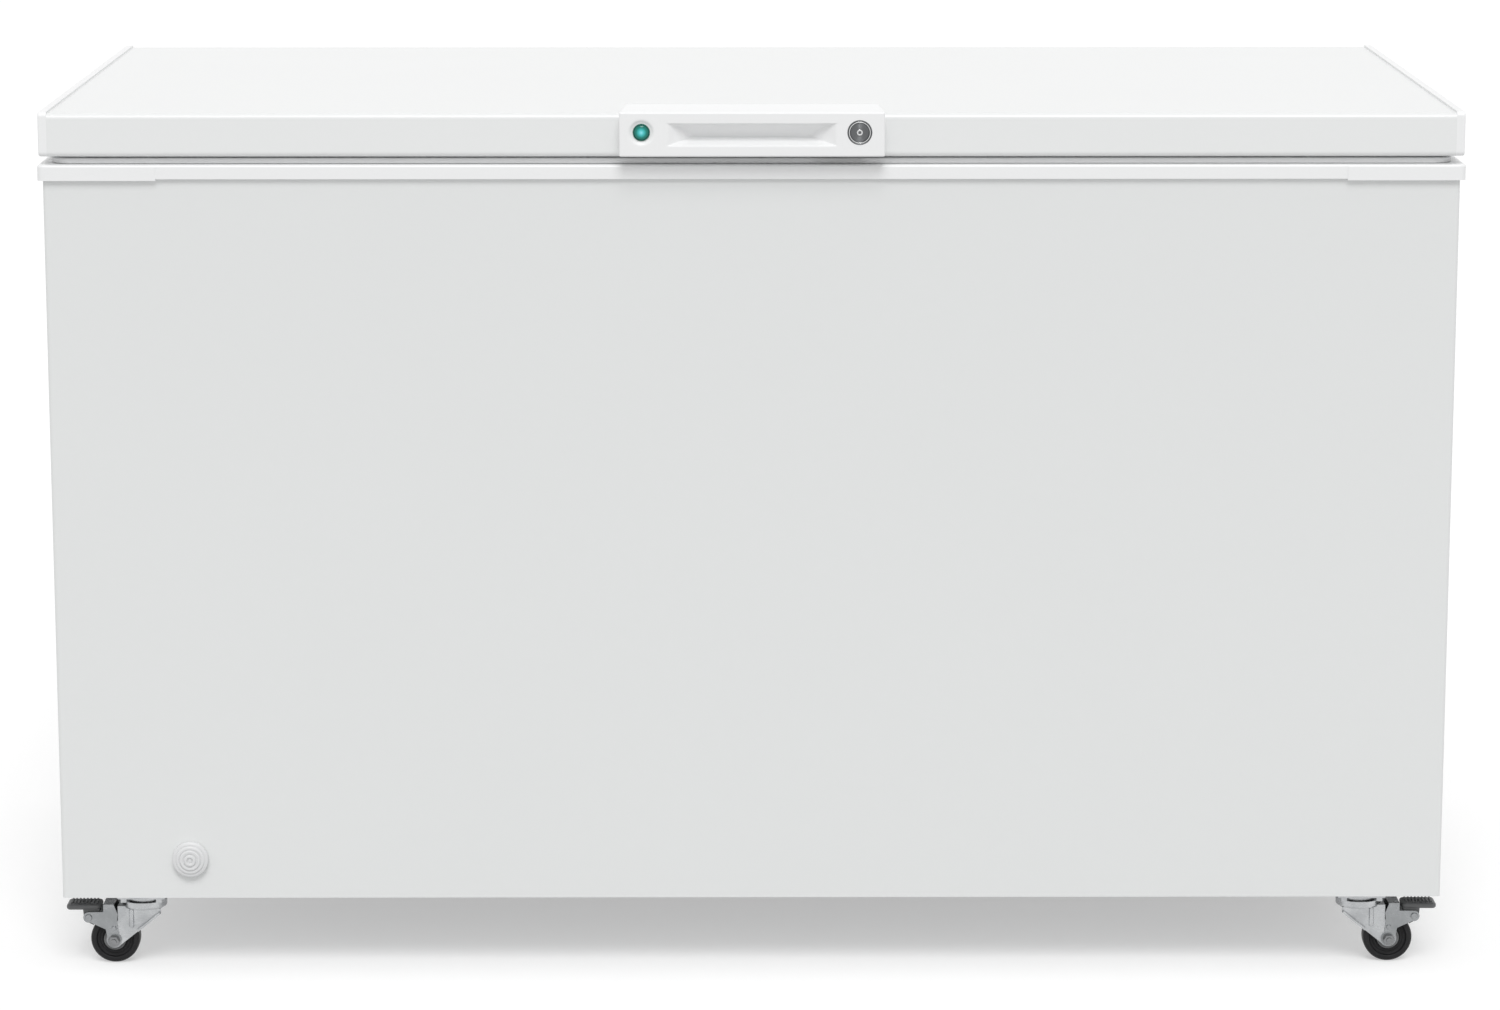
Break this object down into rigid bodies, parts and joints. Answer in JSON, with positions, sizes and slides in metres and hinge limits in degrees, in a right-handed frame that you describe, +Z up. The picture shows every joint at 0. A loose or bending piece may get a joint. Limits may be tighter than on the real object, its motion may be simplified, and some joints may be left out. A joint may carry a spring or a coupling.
{
  "type": "chest freezer",
  "caption": "Wide white chest freezer on swivel casters, with a spring-hinged lid, finger-pull handle, key lock, indicator lens, drain cap and hanging baskets.",
  "frame": {"origin": "on the floor, under the middle of the overall box", "axes": "+X to the right as seen by a person at the handle, +Y to the back, +Z up"},
  "size_m": [1.41, 0.7438, 0.883],
  "materials": {
    "white_paint": "smooth satin white enamel",
    "panel_steel": "pre-coated sheet, satin",
    "white_plastic": "moulded white plastic, semi-gloss",
    "liner_plastic": "embossed white liner",
    "foam": "rigid polyurethane foam",
    "seal_rubber": "soft matt grey",
    "green_lens": "translucent green",
    "lock_chrome": "polished with fine turning marks",
    "zinc_steel": "bright zinc plate",
    "spring_steel": "oiled spring steel",
    "grey_plastic": "plain moulded",
    "black_enamel": "black enamel",
    "black_rubber": "matt",
    "black_plastic": "fine moulded grain",
    "copper": "drawn copper tube",
    "coil_aluminium": "plain tube",
    "coated_wire": "white plastic coating",
    "wheel_rubber": "matt black tread"
  },
  "bodies": {
    "cabinet": {"outer_shell": "white_paint", "back_panel": "panel_steel", "base_pan": "panel_steel", "insulation": "foam", "inner_liner": "liner_plastic", "rim_strips": "white_plastic", "rim_corners": "white_plastic", "lock_keeper": "zinc_steel", "drain_tube": "grey_plastic", "drain_collar": "white_plastic", "compressor": "black_enamel", "compressor_mounts": "black_rubber", "compressor_tray": "zinc_steel", "start_relay": "black_plastic", "filter_drier": "copper", "evaporator_coil": "coil_aluminium", "condenser_coil": "copper", "vent_grille": "white_plastic", "thermostat": "black_plastic", "cable_gland": "black_rubber", "hinge_bases": "zinc_steel", "hinge_pins": "zinc_steel", "hinge_springs": "spring_steel", "hinge_screws": "zinc_steel", "caster_plates": "zinc_steel", "caster_bolts": "zinc_steel"},
    "lid": {"lid_panel": "white_paint", "lid_end_caps": "white_plastic", "lid_insulation": "foam", "lid_liner": "liner_plastic", "lid_gasket": "seal_rubber", "hinge_leaves": "zinc_steel", "handle": "white_plastic", "indicator_lens": "green_lens", "lock_bezel": "lock_chrome"},
    "lock": {"lock_barrel": "lock_chrome", "lock_cam": "zinc_steel"},
    "basket_left": {"basket_left": "coated_wire"},
    "basket_right": {"basket_right": "coated_wire"},
    "drain_cap": {"drain_cap": "white_plastic"},
    "drain_plug": {"drain_plug": "white_plastic"},
    "control_dial": {"control_dial": "white_plastic"},
    "caster_front_left": {"caster_fork_front_left": "zinc_steel", "caster_axle_front_left": "zinc_steel", "brake_bracket_front_left": "zinc_steel"},
    "wheel_front_left": {"caster_wheel_front_left": "wheel_rubber"},
    "pedal_front_left": {"brake_pedal_front_left": "black_plastic"},
    "caster_front_right": {"caster_fork_front_right": "zinc_steel", "caster_axle_front_right": "zinc_steel", "brake_bracket_front_right": "zinc_steel"},
    "wheel_front_right": {"caster_wheel_front_right": "wheel_rubber"},
    "pedal_front_right": {"brake_pedal_front_right": "black_plastic"},
    "caster_rear_left": {"caster_fork_rear_left": "zinc_steel", "caster_axle_rear_left": "zinc_steel"},
    "wheel_rear_left": {"caster_wheel_rear_left": "wheel_rubber"},
    "caster_rear_right": {"caster_fork_rear_right": "zinc_steel", "caster_axle_rear_right": "zinc_steel"},
    "wheel_rear_right": {"caster_wheel_rear_right": "wheel_rubber"}
  },
  "joints": [
    {"name": "lid_hinge", "type": "hinge", "parent": "cabinet", "child": "lid", "pos_m": [0, 0.3629, 0.818], "axis": [-1, 0, 0], "range_deg": [0, 80], "deforming": ["hinge_springs"]},
    {"name": "lock_turn", "type": "hinge", "parent": "lid", "child": "lock", "pos_m": [0.1057, -0.3711, 0.857], "axis": [0, -1, 0], "range_deg": [0, 90]},
    {"name": "basket_left_slide", "type": "slide", "parent": "cabinet", "child": "basket_left", "axis": [1, 0, 0], "range_m": [0, 0.285]},
    {"name": "basket_right_slide", "type": "slide", "parent": "cabinet", "child": "basket_right", "axis": [-1, 0, 0], "range_m": [0, 0.285]},
    {"name": "drain_cap_pull", "type": "slide", "parent": "cabinet", "child": "drain_cap", "axis": [0, -1, 0], "range_m": [0, 0.04]},
    {"name": "drain_plug_lift", "type": "slide", "parent": "cabinet", "child": "drain_plug", "axis": [0, 0, 1], "range_m": [0, 0.05]},
    {"name": "dial_turn", "type": "hinge", "parent": "cabinet", "child": "control_dial", "pos_m": [0.7, -0.0831, 0.2], "axis": [1, 0, 0], "range_deg": [0, 280]},
    {"name": "swivel_front_left", "type": "hinge", "parent": "cabinet", "child": "caster_front_left", "pos_m": [-0.621, -0.3151, 0.07], "axis": [0, 0, 1], "continuous": true},
    {"name": "roll_front_left", "type": "hinge", "parent": "caster_front_left", "child": "wheel_front_left", "pos_m": [-0.651, -0.3151, 0.025], "axis": [0, 1, 0], "continuous": true},
    {"name": "brake_front_left", "type": "hinge", "parent": "caster_front_left", "child": "pedal_front_left", "pos_m": [-0.6766, -0.3151, 0.0495], "axis": [0, -1, 0], "range_deg": [0, 20]},
    {"name": "swivel_front_right", "type": "hinge", "parent": "cabinet", "child": "caster_front_right", "pos_m": [0.621, -0.3151, 0.07], "axis": [0, 0, 1], "continuous": true},
    {"name": "roll_front_right", "type": "hinge", "parent": "caster_front_right", "child": "wheel_front_right", "pos_m": [0.651, -0.3151, 0.025], "axis": [0, 1, 0], "continuous": true},
    {"name": "brake_front_right", "type": "hinge", "parent": "caster_front_right", "child": "pedal_front_right", "pos_m": [0.6766, -0.3151, 0.0495], "axis": [0, 1, 0], "range_deg": [0, 20]},
    {"name": "swivel_rear_left", "type": "hinge", "parent": "cabinet", "child": "caster_rear_left", "pos_m": [-0.621, 0.3129, 0.07], "axis": [0, 0, 1], "continuous": true},
    {"name": "roll_rear_left", "type": "hinge", "parent": "caster_rear_left", "child": "wheel_rear_left", "pos_m": [-0.651, 0.3129, 0.025], "axis": [0, 1, 0], "continuous": true},
    {"name": "swivel_rear_right", "type": "hinge", "parent": "cabinet", "child": "caster_rear_right", "pos_m": [0.621, 0.3129, 0.07], "axis": [0, 0, 1], "continuous": true},
    {"name": "roll_rear_right", "type": "hinge", "parent": "caster_rear_right", "child": "wheel_rear_right", "pos_m": [0.651, 0.3129, 0.025], "axis": [0, 1, 0], "continuous": true}
  ]
}
